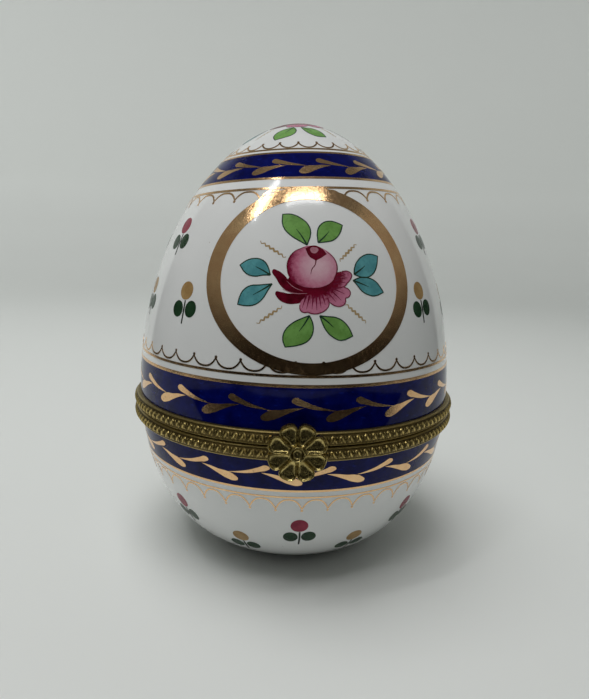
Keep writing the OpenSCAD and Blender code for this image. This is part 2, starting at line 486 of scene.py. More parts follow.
COBALT = cobalt_blue()
LOW_EDGE, HIGH_EDGE = STRIP_LOW / MM - 0.02, BELLY / MM + 0.02
for name, skin, low, high, tilt, body in (
    ("lid_cobalt_low", lid_skin, HIGH_EDGE, 39.9, STRAIGHT, "lid"),
    ("lid_cobalt_top", lid_skin, 74.4, 79.1, ASKEW, "lid"),
    ("bowl_cobalt", bowl_skin, 21.55, LOW_EDGE, STRAIGHT, "base"),
):
    finish(ring_coat(name, skin, low, high, 0.02, tilt), body, COBALT)

# %% [markdown]
# ## Gilding
# Bright gold is brushed on and fired last. It shines like metal, and a little of the ground
# shows through the grain of the brush. Thin rings run along the blue bands and beside the
# white stripes.


# %% Gold rings
def bright_gold(name, ground, grain_size, worn):
    """Gold over a ground colour, which shows where the gold is worn."""
    mat, tree, bsdf = shader(name, Specular_IOR_Level=0.5)
    grain = place_group(tree, brush_grain, Grain=grain_size, Stretch=(1.0, 1.0, 0.55))
    warm = blend_colour(spread(grain["Cloud"], 0.3, 0.7), (0.82, 0.50, 0.26), (0.90, 0.60, 0.32))
    missing = calc("MULTIPLY", grain["Thin"], worn)
    colour = blend_colour(missing, warm, ground)
    tint(bsdf, colour, spread(grain["Height"], 0.3, 0.7, 0.10, 0.26))
    wire(spread(missing, 0.0, 1.0, 1.0, 0.2), bsdf.inputs["Metallic"])
    relief(grain["Height"], bsdf, 0.012)
    return mat


GOLD_LINE = bright_gold("gold on white", (0.55, 0.36, 0.24), 2600.0, 0.15)
GOLD_LEAF = bright_gold("gold on blue", (0.30, 0.17, 0.10), 3400.0, 0.25)
RING_LIFT = 0.035
lines = [(39.85, 40.4, STRAIGHT), (41.5, 41.95, STRAIGHT)]
lines += [(z, top, ASKEW) for z, top in ((72.3, 72.7), (74.1, 74.5), (79.05, 79.4), (79.8, 80.1))]
lid_lines = [ring_coat("line", lid_skin, z, top, RING_LIFT, tilt) for z, top, tilt in lines]
finish(join(lid_lines, "lid_gold_rings"), "lid", GOLD_LINE)
lines = (21.2, 21.6), (19.95, 20.25)
bowl_lines = [ring_coat("line", bowl_skin, z, top, RING_LIFT) for z, top in lines]
finish(join(bowl_lines, "bowl_gold_rings"), "base", GOLD_LINE)

# %% [markdown]
# ## Painting by hand
# A painted shape is a closed Bezier outline made a mesh. A brush stroke is a Bezier line swept
# by a flat nib, where the radius of each point is the pressure of the brush. The flat painting
# is cut into cells so that it can bend, pressed on the skin and given its thickness.


# %% Brush helpers
def bezier(points, closed, corner_size=2):
    """A Bezier line through points in mm; a number beyond corner_size marks a sharp corner."""
    put_down()
    if closed:
        bpy.ops.curve.primitive_bezier_circle_add(radius=MM)
    else:
        bpy.ops.curve.primitive_bezier_curve_add(radius=MM)
    line = bpy.context.object
    loop = line.data.splines[0]
    loop.bezier_points.add(len(points) - len(loop.bezier_points))
    for knot, p in zip(loop.bezier_points, points):
        knot.co = (p[0] * MM, p[1] * MM, 0)
    for knot, p in zip(loop.bezier_points, points):
        kind = "VECTOR" if len(p) > corner_size else "AUTO"
        knot.handle_left_type = knot.handle_right_type = kind
    return line


nib = bezier([(-0.5, 0, 0), (0, 0, 0), (0.5, 0, 0)], closed=False)
nib.name = "nib"
nib.data.resolution_u = 1
nib.hide_render = True


def patch(points, smooth=5):
    """A filled flat shape from its outline."""
    shape = bezier(points, closed=True)
    shape.data.dimensions = "2D"
    shape.data.fill_mode = "BOTH"
    shape.data.resolution_u = smooth
    bpy.ops.object.convert(target="MESH")
    open_mesh(shape)
    bpy.ops.mesh.remove_doubles(threshold=1e-7)
    put_down()
    face_up(shape)
    return shape


def stroke(points, smooth=4):
    """A brush stroke from (x, y, width) points."""
    line = bezier(points, closed=False, corner_size=3)
    line.data.dimensions = "3D"
    line.data.twist_mode = "Z_UP"
    line.data.resolution_u = smooth
    for knot, p in zip(line.data.splines[0].bezier_points, points):
        knot.radius = p[2]
    line.data.bevel_mode = "OBJECT"
    line.data.bevel_object = nib
    bpy.ops.object.convert(target="MESH")
    return line


def dot(x, y, wide, high=None, turn_by=0.0, sides=20):
    """A round or oval touch of colour."""
    put_down()
    bpy.ops.mesh.primitive_circle_add(vertices=sides, radius=MM / 2, fill_type="TRIFAN")
    spot = bpy.context.object
    spot.scale = (wide, high or wide, 1)
    spot.rotation_euler = (0, 0, radians(turn_by))
    spot.location = (x * MM, y * MM, 0)
    bake_place(spot)
    return spot


def cells(piece, size):
    """Cut a flat piece into cells of about this size in mm, so that it can bend."""
    spans = [sorted(v.co[axis] for v in piece.data.vertices) for axis in (0, 1)]
    open_mesh(piece)
    for axis, (start, *_, end) in enumerate(spans):
        count = int((end - start) / (size * MM))
        for k in range(1, count + 1):
            point, normal = [0, 0, 0], [0, 0, 0]
            point[axis], normal[axis] = start + (end - start) * k / (count + 1), 1
            bpy.ops.mesh.select_all(action="SELECT")
            bpy.ops.mesh.bisect(plane_co=point, plane_no=normal, threshold=1e-8)
    put_down()
    return piece


def thicken(piece, depth=0.06):
    """Give a laid painting its thickness, towards the porcelain."""
    work(piece, "SOLIDIFY", thickness=depth * MM, offset=-1)
    return piece


def press(piece, place, skin, lift):
    """Press a flat piece on the skin, straight inwards from its place."""
    piece.matrix_world = place
    work(
        piece, "SHRINKWRAP", target=skin, wrap_method="PROJECT", wrap_mode="ABOVE_SURFACE",
        offset=lift * MM, use_project_z=True,
        use_negative_direction=True, use_positive_direction=False,
    )
    bake_place(piece)


def lay(piece, place, skin, lift, cell=0.8):
    """Lay a flat painting on the skin and give it its thickness."""
    press(cells(piece, cell), place, skin, lift)
    return thicken(piece)


def spin_round(piece, count):
    """Repeat a piece count times round the axis."""
    open_mesh(piece)
    bpy.ops.mesh.spin(
        steps=count - 1, dupli=True, angle=2 * pi * (count - 1) / count, use_auto_merge=False,
        center=(0, 0, 0), axis=(0, 0, 1),
    )
    put_down()


def upright(tip=90, azimuth=0.0):
    """A flat place tipped up by degrees and turned round Z by radians."""
    return Euler((radians(tip), 0, azimuth)).to_matrix().to_4x4()


def front(height, azimuth=0.0, gap=6.0):
    """A flat place just off the glaze at a height in mm, square to it and turned round Z."""

    def radius(z):
        if z > BELLY:
            angle = degrees(asin(((z - BELLY) / RISE) ** (LID_POWERS[1] / 2)))
            return lid_point(angle, EGG_R, RISE)[0]
        return bowl_point(bowl_angle(z, DROP), EGG_R, DROP)[0]

    z, near = height * MM, 0.2 * MM
    slope = (radius(z - near) - radius(z + near)) / (2 * near)
    azimuth = radians(azimuth + (PAINT_TURN if z > SEAM else 0))
    turn_by = upright(90 - degrees(atan(slope)), azimuth)
    around = Matrix.Rotation(azimuth, 4, "Z")
    spot = around @ Vector((0, -radius(z), z)) + turn_by @ Vector((0, 0, gap * MM))
    return Matrix.Translation(spot) @ turn_by


def garland(units, name, skin, count, first, height, lift, tilt=STRAIGHT, cell=0.8):
    """Repeat a flat unit round the egg, with its middle at the azimuth first."""
    unit = cells(join(units, name), cell)
    press(unit, front(height), skin, 0)
    spin_round(unit, count)
    unit.matrix_world = tilt @ Matrix.Rotation(radians(first), 4, "Z")
    bake_place(unit)
    work(
        unit, "SHRINKWRAP", target=skin, wrap_method="NEAREST_SURFACEPOINT",
        wrap_mode="ABOVE_SURFACE", offset=lift * MM,
    )
    return thicken(unit)


print("brush helpers ready")

# %% [markdown]
# ## The gold garlands
# A vine of paired leaves runs along each blue band: one leaf springs up from the stem, the
# next hangs down, and their long tails make the stem. One pair is drawn and repeated.


# %% Vines
VINE_LIFT, PAIR_MIDDLE = 0.045, 6.0
UPPER_LEAF = [
    (-0.35, 1.45), (0.25, 2.02), (1.6, 1.5), (3.4, 0.72), (5.4, 0.12), (7.3, -0.32, 0),
    (5.2, -0.22), (3.1, 0.05), (1.4, 0.52), (0.1, 0.95),
]
LOWER_LEAF = [
    (5.35, -1.75), (5.9, -2.2), (7.5, -1.95), (9.2, -1.12), (10.8, -0.35), (12.5, 0.28, 0),
    (10.6, 0.2), (8.9, -0.12), (7.2, -0.3), (5.9, -0.95),
]


def leaf_pair(along, up, mirror=1):
    """One upper and one lower leaf, centred on the pair; along and up scale it."""
    scale = along * mirror
    return [
        patch([((x - PAIR_MIDDLE) * scale, y * up, *c) for x, y, *c in leaf])
        for leaf in (UPPER_LEAF, LOWER_LEAF)
    ]


def vine(name, skin, body, count, first, height, scales, tilt=STRAIGHT):
    """A gold vine round the egg."""
    made = garland(leaf_pair(*scales), name, skin, count, first, height, VINE_LIFT, tilt)
    finish(made, body, GOLD_LEAF)


first = 0.4 + degrees(PAIR_MIDDLE / 33.0)
vine("lid_vine_low", lid_skin, "lid", 19, first, 36.3, (1.0, 0.97))
first = -10.7 + degrees(4.5 / 18.3)
vine("lid_vine_top", lid_skin, "lid", 14, first, 76.76, (0.82, 1.0), ASKEW)
first = -8.4 - degrees(PAIR_MIDDLE / 32.2)
vine("bowl_vine", bowl_skin, "base", 18, first, 24.4, (1.0, 0.85, -1))

# %% [markdown]
# The white zones are edged with drawn scallops, each with a dot over its cusp. One scallop is
# two thin strokes that meet in the cusp.


# %% Scallops
LINE_LIFT, LINE_CELL = 0.04, 1.2


def scallops(name, skin, count, first, height, shape, pens=(0.33, 0.52), tilt=ASKEW):
    """Scallops round the egg. Their shape is the egg's radius there, their depth and the gap
    to the dot, where a negative depth hangs them upside down; pens are the line and the dot."""
    radius, deep, gap = shape
    pen, spot = pens
    half, way, deep = pi * radius / count, 1 if deep > 0 else -1, abs(deep)
    right = [
        (0, deep, pen * 0.8), (half * 0.28, deep * 0.42, pen), (half * 0.6, deep * 0.10, pen),
        (half, 0, pen),
    ]
    unit = [stroke([(side * x, way * y, w) for x, y, w in right]) for side in (-1, 1)]
    unit.append(dot(0, way * (deep + gap), spot, sides=10))
    body = "lid" if skin == lid_skin else "base"
    made = garland(unit, name, skin, count, first, height, LINE_LIFT, tilt, LINE_CELL)
    finish(made, body, GOLD_LINE)


scallops("lid_scallops_low", lid_skin, 44, -24.1, 42.3, (32.6, 1.5, 0.2), tilt=STRAIGHT)
scallops("lid_scallops_high", lid_skin, 29, -28.4, 72.1, (22.5, -1.7, 0.3))
scallops("lid_scallops_apex", lid_skin, 25, 2.3, 80.3, (14.7, 1.35, 0.25))
FINE_PENS = (0.26, 0.44)
scallops("bowl_scallops", bowl_skin, 42, 2.4, 19.6, (31.3, -2.1, 0.35), FINE_PENS, STRAIGHT)

# %% [markdown]
# ## Enamel colours
# The flowers are painted in enamel, which fires to a soft gloss and is uneven in strength: it
# is thin where the brush ran dry and darker where it pooled.


# %% Enamels
GLOSS = 0.22
VARNISH = {"IOR": 1.3, "Coat_Weight": 0.05, "Coat_Roughness": 0.08}


def enamel(name, thin, full):
    """A painted colour between a thin and a full strength."""
    mat, tree, bsdf = shader(name, **VARNISH)
    grain = place_group(tree, brush_grain, Grain=2200.0, Stretch=(1.0, 1.0, 1.0))
    flow = place_group(tree, glaze_flow, Wave=500.0, Speck=1000.0)
    pooled = blend_colour(spread(grain["Cloud"], 0.35, 0.65), thin, full)
    dark = tuple(c * 0.6 for c in full)
    colour = blend_colour(spread(grain["Height"], 0.5, 0.75, 0.0, 0.45), pooled, dark)
    tint(bsdf, colour, spread(flow["Cloud"], 0.2, 0.8, GLOSS - 0.05, GLOSS + 0.08))
    relief(grain["Height"], bsdf, 0.012)
    return mat


LEAF_DARK = enamel("sprig green", (0.020, 0.060, 0.025), (0.010, 0.036, 0.014))
RED = enamel("sprig red", (0.33, 0.035, 0.07), (0.23, 0.015, 0.04))
OCHRE = enamel("sprig ochre", (0.42, 0.27, 0.11), (0.33, 0.20, 0.075))
STEM = enamel("sprig stem", (0.010, 0.020, 0.012), (0.006, 0.012, 0.008))

# %% [markdown]
# Little sprigs are strewn over the white: a round berry, two dark oval leaves and a stem. Red
# and ochre berries take turns. Each sprig is laid separately because they were set by eye.


# %% Sprigs
LEAN = Matrix.Rotation(radians(3), 4, "Z")
BERRY, LEAF_AT, LEAF, LEAF_TURN = (3.2, 3.3), (1.65, -3.25), (2.7, 3.0), -12
SPRIG_STEM = [(0.05, -1.75, 0.30), (0.0, -3.6, 0.36), (-0.15, -5.9, 0.30)]
SPRIG_LIFT, SPRIG_CELL, STEM_LIFT = 0.025, 1.0, 0.032


def sprigs(places, skin, body, prefix):
    """Lay sprigs at (azimuth, height, colour) places and join them by colour."""
    heaps = {"red": [], "ochre": [], "leaf": [], "stem": []}
    for azimuth, height, colour in places:
        place = front(height, azimuth) @ LEAN
        berry = dot(0, 0, *BERRY, sides=24)
        heaps[colour].append(lay(berry, place, skin, SPRIG_LIFT, SPRIG_CELL))
        for side in (-1, 1):
            leaf = dot(LEAF_AT[0] * side, LEAF_AT[1], *LEAF, LEAF_TURN * side)
            heaps["leaf"].append(lay(leaf, place, skin, SPRIG_LIFT, SPRIG_CELL))
        heaps["stem"].append(lay(stroke(SPRIG_STEM), place, skin, STEM_LIFT, LINE_CELL))
    for key, mat in (("red", RED), ("ochre", OCHRE), ("leaf", LEAF_DARK), ("stem", STEM)):
        finish(join(heaps[key], f"{prefix}_{key}"), body, mat)


places = [(-55, 65.8, "red"), (65.6, 67.0, "red"), (-40, 54.4, "ochre"), (48.6, 55.3, "ochre")]
places += [(a, 54.4, "ochre") for a in (-67, *range(76, 266, 27))]
places += [(a, 65.8, "red") for a in (-82, *range(90, 253, 27))]
sprigs(places, lid_skin, "lid", "lid_sprigs")
places = [(a, 13.6, "red") for a in (2, 49, 94, 138, 182, 226, 270, 313)]
places += [(a, 9.2, "ochre") for a in (25.5, 71, 116, 160, 204, 248, 292, -21)]
sprigs(places, bowl_skin, "base", "bowl_sprigs")

# %% [markdown]
# ## The rose
# The same bouquet is painted on the front of the lid and on its crown: a round rose with
# falling petals, four green and four blue-green leaves, and four wavy ochre tendrils. It is
# built from the back to the front: leaves, their outlines and ribs, the deep red of the
# falling petals, pink washes, fine strokes, and the ball of the flower last.


# %% Colours of the bouquet
LEAF_GREEN = enamel("leaf green", (0.19, 0.40, 0.10), (0.135, 0.30, 0.065))
LEAF_TEAL = enamel("leaf blue-green", (0.11, 0.36, 0.39), (0.07, 0.26, 0.29))
LEAF_LINE = enamel("leaf outline", (0.025, 0.06, 0.035), (0.015, 0.04, 0.025))
ROSE_DEEP = enamel("rose deep red", (0.16, 0.004, 0.020), (0.075, 0.002, 0.008))
ROSE_LINE = enamel("rose line", (0.20, 0.012, 0.045), (0.12, 0.006, 0.025))
TENDRIL = enamel("tendril ochre", (0.46, 0.34, 0.18), (0.38, 0.26, 0.12))


def rose_wash(name, place, centre, reach, steps):
    """A colour that changes with the distance from a point; steps are (share, colour)."""
    mat, tree, bsdf = shader(name, Roughness=GLOSS, **VARNISH)
    spot = place @ Vector((centre[0] * MM, centre[1] * MM, 0))
    onto = node(tree, "Mapping", vector_type="TEXTURE")
    onto.inputs["Location"].default_value = spot
    onto.inputs["Rotation"].default_value = place.to_euler()
    size = place.to_scale().x * reach * MM
    onto.inputs["Scale"].default_value = (size, size, 10.0)
    wire(whereabouts(tree), onto.inputs["Vector"])
    ball = node(tree, "TexGradient", gradient_type="SPHERICAL")
    wire(onto.outputs["Vector"], ball.inputs["Vector"])
    grain = place_group(tree, brush_grain, Grain=1500.0, Stretch=(1.0, 1.0, 1.0))
    brushed = spread(grain["Height"], 0.3, 0.7, -0.07, 0.07)
    uneven = calc("ADD", ball.outputs["Fac"], brushed)
    ramp = node(tree, "ValToRGB")
    ramp.color_ramp.elements.remove(ramp.color_ramp.elements[0])
    ramp.color_ramp.elements[0].position = steps[0][0]
    ramp.color_ramp.elements[0].color = (*steps[0][1], 1)
    for share, colour in steps[1:]:
        ramp.color_ramp.elements.new(share).color = (*colour, 1)
    wire(uneven, ramp.inputs["Fac"])
    wire(ramp.outputs["Color"], bsdf.inputs["Base Color"])
    relief(grain["Height"], bsdf, 0.012)
    return mat


# %% Leaves and tendrils of the bouquet
# the points of each leaf, and where its rib ends
GREEN_LEAVES = [
    ([
        (-4.85, 10.9, 0), (-3.3, 10.85), (-1.8, 10.1), (-0.6, 8.9), (-0.2, 7.4), (-0.85, 5.2, 0),
        (-2.0, 5.9), (-3.6, 7.0), (-4.8, 8.7),
    ], (-2.6, 8.1)),
    ([
        (5.3, 9.2, 0), (4.3, 9.6), (2.9, 9.75), (1.6, 9.1), (0.95, 7.8), (1.0, 5.7, 0),
        (2.3, 5.9), (3.6, 6.3), (4.7, 7.5),
    ], (2.9, 7.8)),
    ([
        (-4.4, -11.8, 0), (-4.8, -10.6), (-4.5, -9.2), (-3.2, -7.9), (-1.8, -7.2),
        (-0.5, -6.7, 0), (0.05, -8.0), (0.1, -9.3), (-0.5, -10.6), (-1.9, -11.4),
    ], (-2.2, -9.3)),
    ([
        (6.8, -9.8, 0), (6.2, -8.6), (5.2, -7.5), (3.9, -6.9), (2.5, -6.8), (1.2, -6.7, 0),
        (1.6, -7.8), (2.3, -9.1), (3.4, -10.1), (4.8, -10.6),
    ], (3.5, -8.5)),
]
TEAL_LEAVES = [
    ([
        (-11.9, 2.2, 0), (-11.0, 2.8), (-9.6, 3.15), (-8.1, 2.7), (-7.3, 1.6), (-6.9, 0.1, 0),
        (-8.1, 0.15), (-9.4, 0.05), (-10.8, 0.6),
    ], (-9.3, 1.7)),
    ([
        (-12.2, -4.5, 0), (-11.9, -3.3), (-11.3, -2.2), (-10.1, -1.5), (-8.8, -1.5),
        (-6.6, -1.4, 0), (-7.3, -2.5), (-8.2, -3.9), (-9.3, -4.7), (-10.7, -4.85),
    ], (-9.7, -3.1)),
    ([
        (11.6, 4.4, 0), (10.2, 4.55), (8.9, 4.1), (7.7, 2.9), (7.2, 1.7), (7.1, 0.6, 0),
        (8.0, 0.3), (9.2, 0.25), (10.4, 0.9), (11.2, 2.2),
    ], (9.1, 2.3)),
    ([
        (12.5, -1.9, 0), (11.9, -1.1), (11.0, -0.2), (9.6, 0.25), (8.1, 0.1), (6.9, -0.5, 0),
        (7.6, -1.2), (8.4, -2.1), (9.5, -2.65), (10.8, -2.75),
    ], (9.7, -1.3)),
]
TENDRILS = [
    ((-8.6, 6.1), (-4.4, 3.0)), ((7.6, 6.0), (4.6, 2.7)),
    ((-9.0, -7.9), (-4.9, -5.2)), ((9.2, -7.4), (5.6, -4.6)),
]
LEAF_PEN, RIB_PEN, WAVE = 0.20, (0.30, 0.24, 0.08), 0.17
PATCH_CELL, STROKE_CELL = 0.8, 1.0
FIRST_LIFT, OUTLINE_LIFT, RIB_LIFT = 0.02, 0.028, 0.03


def coat(name, mat, place, *layers):
    """One coat of the bouquet on the lid, made of (lift, cell, shapes)."""
    laid = []
    for lift, cell, shapes in layers:
        laid += [lay(shape, place, lid_skin, lift, cell) for shape in shapes]
    finish(join(laid, name), "lid", mat)


def leaves(name, mat, place, shapes):
    """Leaves with a dark outline and half a rib, from the sharp corner at their base."""
    coat(name, mat, place, (FIRST_LIFT, PATCH_CELL, [patch(leaf) for leaf, _ in shapes]))
    outlines, ribs = [], []
    for leaf, tip in shapes:
        base = next(i for i, p in enumerate(leaf) if i > 0 and len(p) > 2)
        around = leaf[base:] + leaf[:base + 1]
        outlines.append(stroke([(x, y, LEAF_PEN, *c) for x, y, *c in around], 3))
        root = leaf[base][:2]
        half_way = (root[0] + tip[0]) / 2 + 0.1, (root[1] + tip[1]) / 2
        ribs.append(stroke([(*at, w) for at, w in zip((root, half_way, tip), RIB_PEN)]))
    lines = (OUTLINE_LIFT, STROKE_CELL, outlines), (RIB_LIFT, STROKE_CELL, ribs)
    coat(name + "_lines", LEAF_LINE, place, *lines)


def tendrils(name, place):
    """Wavy ochre tendrils, thin at their ends."""
    wavy = []
    for (x0, y0), (x1, y1) in TENDRILS:
        length = hypot(x1 - x0, y1 - y0)
        ax, ay = (y0 - y1) / length, (x1 - x0) / length
        points = []
        for k in range(13):
            t, side = k / 12, WAVE * (-1) ** k
            x, y = x0 + (x1 - x0) * t + ax * side, y0 + (y1 - y0) * t + ay * side
            points.append((x, y, 0.10 + 0.26 * sin(pi * t)))
        wavy.append(stroke(points, 2))
    coat(name, TENDRIL, place, (FIRST_LIFT, STROKE_CELL, wavy))


# %% The rose itself
FALLING_DEEP = [
    [
        (-6.5, 1.0), (-5.7, 0.85), (-4.7, 0.1), (-3.9, -0.8), (-2.6, -1.7), (-0.6, -2.6),
        (-0.8, -3.05), (-3.1, -3.0), (-4.8, -2.2), (-5.9, -0.6),
    ],
    [
        (-6.0, -2.75), (-5.2, -2.8), (-3.8, -3.1), (-0.8, -3.15), (-0.7, -3.6), (-1.5, -4.4),
        (-2.9, -4.8), (-4.5, -4.65), (-5.7, -3.8),
    ],
    [
        (-4.0, -0.6), (-1.5, 0.0), (2.5, -0.2), (4.0, -0.5), (3.7, -1.9), (2.9, -3.3),
        (1.2, -3.9), (-0.9, -4.0), (-2.4, -3.0), (-3.4, -1.9),
    ],
]
FALLING_PINK = [
    [
        (4.0, 0.5), (5.0, 0.9), (6.0, 1.0), (6.65, 0.5), (6.5, -0.2), (6.0, -0.9), (5.3, -1.65),
        (3.5, -2.1), (3.6, -0.8),
    ],
    [
        (3.6, -2.0), (5.3, -1.75), (6.1, -2.1), (6.4, -2.7), (6.05, -3.4), (5.55, -3.6, 0),
        (5.5, -4.4), (4.9, -4.95), (3.8, -5.0), (2.9, -4.5), (2.2, -3.6),
    ],
    [
        (-1.6, -4.0), (-2.1, -5.0), (-2.0, -5.8), (-1.5, -6.2), (-0.8, -6.15, 0), (0.0, -6.4),
        (1.1, -6.3), (2.2, -5.7), (2.75, -4.8), (2.5, -3.7), (0.6, -3.0),
    ],
]
BALL = [
    (0.0, 5.1), (2.0, 4.55), (3.6, 3.2), (4.15, 1.3), (3.5, -0.6), (2.0, -1.75), (0.0, -2.1),
    (-2.1, -1.75), (-3.7, -0.5), (-4.2, 1.4), (-3.6, 3.3), (-2.0, 4.6),
]
CAP = [
    (-1.15, 4.6, 0), (0.1, 5.15), (1.5, 4.75), (2.45, 3.75, 0), (1.6, 3.1), (0.6, 2.5, 0),
    (-0.5, 3.2),
]
CAP_LIGHT = [
    (-0.3, 4.65), (0.4, 4.85), (1.0, 4.55), (0.7, 3.9), (0.1, 3.8), (-0.3, 4.2),
]
FAN = [
    ((-1.0, -3.3), (-1.7, -5.5)), ((-0.5, -3.4), (-1.0, -5.7)), ((0.1, -3.5), (-0.1, -5.7)),
    ((0.6, -3.5), (0.7, -5.8)), ((1.1, -3.4), (1.4, -5.4)), ((1.6, -3.2), (2.1, -4.9)),
    ((2.4, -2.7), (3.9, -4.3)), ((2.9, -2.3), (4.8, -4.0)), ((3.1, -2.0), (5.4, -2.9)),
    ((3.5, -1.4), (5.5, -0.9)), ((3.8, -0.8), (5.7, -0.1)), ((4.0, -0.3), (5.5, 0.4)),
]
CAP_STROKES = [
    [(0.6, 2.6, 0.22), (0.45, 1.8, 0.16), (-0.1, 1.0, 0.14), (-0.3, 0.1, 0.05)],
    [(2.3, 4.2, 0.06), (3.7, 3.0, 0.16), (4.15, 1.2, 0.20), (3.6, -0.5, 0.12)],
    [(-1.3, 4.85, 0.06), (-3.2, 3.8, 0.16), (-4.15, 1.6, 0.22), (-3.6, -0.4, 0.12)],
]
LIGHT_STROKES = [
    [(-4.9, -2.35, 0.06), (-3.0, -3.05, 0.14), (-0.9, -3.08, 0.06)],
    [(-4.2, -1.0, 0.05), (-3.2, -1.95, 0.12), (-1.6, -2.7, 0.05)],
]
PALE, PINK, RED_GROUND = (0.70, 0.46, 0.52), (0.58, 0.21, 0.32), (0.17, 0.004, 0.022)
FALLING_TONES = [
    (0.0, (0.46, 0.12, 0.22)), (0.16, PINK), (0.30, (0.50, 0.16, 0.26)), (0.46, RED_GROUND),
]
BALL_TONES = [
    (0.0, RED_GROUND), (0.15, (0.22, 0.015, 0.05)), (0.34, (0.50, 0.15, 0.24)),
    (0.6, (0.62, 0.33, 0.41)), (0.9, PALE),
]


# how high each coat lies over the glaze, in mm
DEEP_LIFT, PETAL_LIFT, LIGHT_LIFT, STROKE_LIFT = 0.02, 0.032, 0.036, 0.046
BALL_LIFT, CAP_LIFT, TOP_LIFT, HAIR = 0.052, 0.058, 0.062, 0.004
RIM_PEN, FAN_PEN = 0.16, (0.34, 0.17, 0.05)


def rising(lift, shapes):
    """Layers of one patch each, every one a hair over the one before."""
    return [(lift + HAIR * i, PATCH_CELL, [patch(shape)]) for i, shape in enumerate(shapes)]


def rose(prefix, place):
    """The rose, coat by coat."""
    falling = rose_wash(prefix + " falling petals", place, (0.4, 1.0), 8.2, FALLING_TONES)
    ball = rose_wash(prefix + " ball", place, (0.9, 1.6), 5.6, BALL_TONES)
    coat(prefix + "_deep", ROSE_DEEP, place, *rising(DEEP_LIFT, FALLING_DEEP))
    coat(prefix + "_petals", falling, place, *rising(PETAL_LIFT, FALLING_PINK))
    lines = [stroke([(*p[:2], RIM_PEN, *p[2:]) for p in rim[1:-1]]) for rim in FALLING_PINK]
    for root, tip in FAN:
        middle = (root[0] + tip[0]) / 2, (root[1] + tip[1]) / 2
        lines.append(stroke([(*at, w) for at, w in zip((root, middle, tip), FAN_PEN)], 3))
    coat(prefix + "_strokes", ROSE_LINE, place, (STROKE_LIFT, STROKE_CELL, lines))
    light = enamel(prefix + " light line", (0.48, 0.22, 0.27), (0.40, 0.16, 0.21))
    strokes = [stroke(line) for line in LIGHT_STROKES]
    coat(prefix + "_light_lines", light, place, (LIGHT_LIFT, STROKE_CELL, strokes))
    coat(prefix + "_ball", ball, place, (BALL_LIFT, PATCH_CELL, [patch(BALL, 6)]))
    edges = (CAP_LIFT, STROKE_CELL, [stroke(line) for line in CAP_STROKES])
    coat(prefix + "_cap", ROSE_DEEP, place, (CAP_LIFT, PATCH_CELL, [patch(CAP)]), edges)
    coat(prefix + "_cap_light", light, place, (TOP_LIFT, PATCH_CELL, [patch(CAP_LIGHT)]))


def bouquet(prefix, place):
    """Leaves and tendrils first, and the rose over them."""
    leaves(prefix + "_green_leaves", LEAF_GREEN, place, GREEN_LEAVES)
    leaves(prefix + "_teal_leaves", LEAF_TEAL, place, TEAL_LEAVES)
    tendrils(prefix + "_tendrils", place)
    rose(prefix, place)


AWAY, HEIGHT, TIP, TURN = 26.95 * MM, 57.35 * MM, 90 - 19.7, radians(5.2)
TURNED = upright(TIP, TURN)
MIDDLE = Vector((AWAY * sin(TURN), -AWAY * cos(TURN), HEIGHT))
MEDALLION = ABOUT @ Matrix.Translation(MIDDLE + TURNED @ Vector((0, 0, 10 * MM))) @ TURNED
bouquet("front_rose", MEDALLION)
CROWN_MIDDLE = Matrix.Translation((-1.0 * MM, -1.9 * MM, CROWN + 5 * MM))
bouquet("crown_rose", ABOUT @ CROWN_MIDDLE @ Matrix.Scale(0.85, 4))

# %% [markdown]
# ## The gold frame of the medallion
# A broad gold ring frames the rose. It is a circle drawn out to an oval and extruded inwards
# in four steps, so that its cells run with the ring and bend evenly over the lid.

# %% Medallion frame
put_down()
OUTER, INNER, DOWN, STEPS = (17.6, 16.35), (15.15, 14.1), -0.3, 4
bpy.ops.mesh.primitive_circle_add(vertices=160, radius=MM)
frame_ring = bpy.context.object
frame_ring.name = "medallion_frame"
frame_ring.scale = (*OUTER, 1)
bake_place(frame_ring)
open_mesh(frame_ring)
wide = OUTER
for k in range(STEPS):
    new = [o + (i - o) * (k + 1) / STEPS for o, i in zip(OUTER, INNER)]
    bpy.ops.mesh.extrude_edges_move()
    bpy.ops.transform.resize(
        value=(new[0] / wide[0], new[1] / wide[1], 1),
        center_override=(0, DOWN * k / STEPS * MM, 0),
    )
    bpy.ops.transform.translate(value=(0, DOWN / STEPS * MM, 0))
    wide = new
put_down()
face_up(frame_ring)
press(frame_ring, MEDALLION, lid_skin, 0.05)
GOLD_FRAME = bright_gold("gold frame", (0.40, 0.22, 0.10), 2300.0, 0.06)
finish(thicken(frame_ring), "lid", GOLD_FRAME)

# %% [markdown]
# ## Brass
# The mounts are stamped brass, darkened and then rubbed back: high points shine, and hollows
# stay brown-black. The patina of the strips is driven by the distance to the axis.


# %% Brass finishes
def brass(name, bright, dark, hollow=None, dirt=1300.0, rough=0.30):
    """Antique brass; it turns from dark to bright between the two radii of hollow in mm."""
    mat, tree, bsdf = shader(name, Metallic=1.0)
    old = place_group(tree, old_brass, Dirt=dirt)
    amount = spread(old["Patina"], 0.0, 1.0, 0.0, 0.6)
    if hollow:
        flat = node(tree, "VectorMath", operation="MULTIPLY")
        wire(whereabouts(tree), flat.inputs[0])
        flat.inputs[1].default_value = (1, 1, 0)
        size = node(tree, "VectorMath", operation="LENGTH")
        wire(flat.outputs[0], size.inputs[0])
        deep = spread(size.outputs["Value"], hollow[0] * MM, hollow[1] * MM, 0.85, 0.0)
        amount = calc("MAXIMUM", deep, calc("MULTIPLY", old["Patina"], 0.55))
    body = blend_colour(amount, bright, dark)
    shine = tuple(min(c * 1.5, 1) for c in bright)
    colour = blend_colour(spread(old["Scratch"], 0.0, 1.0, 0.0, 0.35), body, shine)
    tint(bsdf, colour, spread(amount, 0.0, 1.0, rough, rough + 0.25))
    relief(old["Height"], bsdf, 0.03)
    return mat


